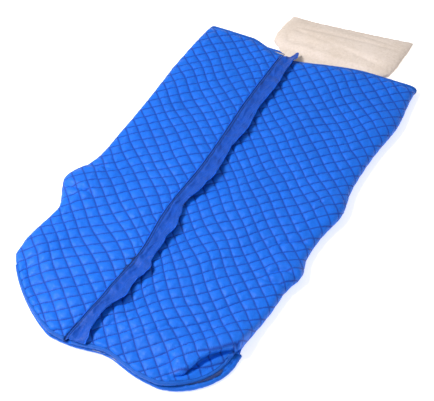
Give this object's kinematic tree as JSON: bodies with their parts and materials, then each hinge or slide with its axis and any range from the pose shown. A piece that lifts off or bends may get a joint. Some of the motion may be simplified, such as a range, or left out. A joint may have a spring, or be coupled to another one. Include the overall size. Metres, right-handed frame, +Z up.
{
  "type": "infrared sauna blanket",
  "caption": "Quilted full-length heat blanket: base panel with heated layers, split top whose leaves fold open, a closing band over the split, and a head pillow.",
  "frame": {"origin": "on the floor, under the middle of the outline of blanket and pillow together", "axes": "+Z up, +Y from foot to head, +X to the right of a user lying on their back"},
  "size_m": [1.008, 2.08, 0.0772],
  "materials": {
    "quilted_nylon": "satin blue nylon, diamond quilted",
    "band_nylon": "plain blue nylon, unquilted",
    "binding": "woven dark blue binding tape",
    "felt": "needled white insulation felt",
    "glass_cloth": "woven glass-fibre cloth",
    "heater_cable": "red silicone over carbon heating wire",
    "lead": "black flexible insulation",
    "lining": "wipe-clean beige synthetic lining",
    "hook_tape": "hook side of hook-and-loop tape",
    "loop_tape": "loop side of hook-and-loop tape",
    "plastic": "fine moulded texture, black",
    "brass": "plated, smooth",
    "pillow_cotton": "slack beige cotton, slightly mottled",
    "wadding": "white polyester wadding"
  },
  "bodies": {
    "base": {"base_outer_quilt": "quilted_nylon", "base_insulation": "felt", "base_heater_carrier": "glass_cloth", "base_back_zone_heater": "heater_cable", "base_leg_zone_heater": "heater_cable", "base_lining": "lining", "base_head_binding": "binding", "base_foot_binding": "binding", "base_foot_loop_tape": "loop_tape", "left_side_fold": "quilted_nylon", "right_side_fold": "quilted_nylon", "back_zone_lead": "lead", "leg_zone_lead": "lead", "back_zone_thermal_cutout": "plastic", "leg_zone_thermal_cutout": "plastic", "temperature_sensor": "brass", "inlet_housing": "plastic", "inlet_contact_block": "plastic"},
    "left_leaf": {"left_outer_quilt": "quilted_nylon", "left_heater_carrier": "glass_cloth", "left_heater": "heater_cable", "left_lining": "lining", "left_head_binding": "binding", "left_foot_binding": "binding", "left_foot_hook_tape": "hook_tape", "seam_piping": "band_nylon"},
    "right_leaf": {"right_outer_quilt": "quilted_nylon", "right_heater_carrier": "glass_cloth", "right_heater": "heater_cable", "right_lining": "lining", "right_head_binding": "binding", "right_foot_binding": "binding", "right_foot_hook_tape": "hook_tape", "right_edge_loop_tape": "loop_tape"},
    "closing_band": {"closing_band": "band_nylon", "band_hook_tape": "hook_tape"},
    "head_pillow": {"pillow_cover": "pillow_cotton", "pillow_filling": "wadding"}
  },
  "joints": [
    {"name": "left_leaf_fold", "type": "hinge", "parent": "base", "child": "left_leaf", "pos_m": [-0.42, 0, 0.0512], "axis": [0, -1, 0], "range_deg": [0, 170]},
    {"name": "right_leaf_fold", "type": "hinge", "parent": "base", "child": "right_leaf", "pos_m": [0.44, 0, 0.0512], "axis": [0, 1, 0], "range_deg": [0, 99]},
    {"name": "band_fold", "type": "hinge", "parent": "left_leaf", "child": "closing_band", "pos_m": [-0.093, 0, 0.0532], "axis": [0, -1, 0], "range_deg": [0, 120]},
    {"name": "pillow_slide", "type": "slide", "parent": "base", "child": "head_pillow", "axis": [0, 1, 0], "range_m": [0, 0.2]}
  ],
  "couplings": [
    {"joint": "right_leaf_fold", "follows": "left_leaf_fold", "ratio": 0.58}
  ]
}
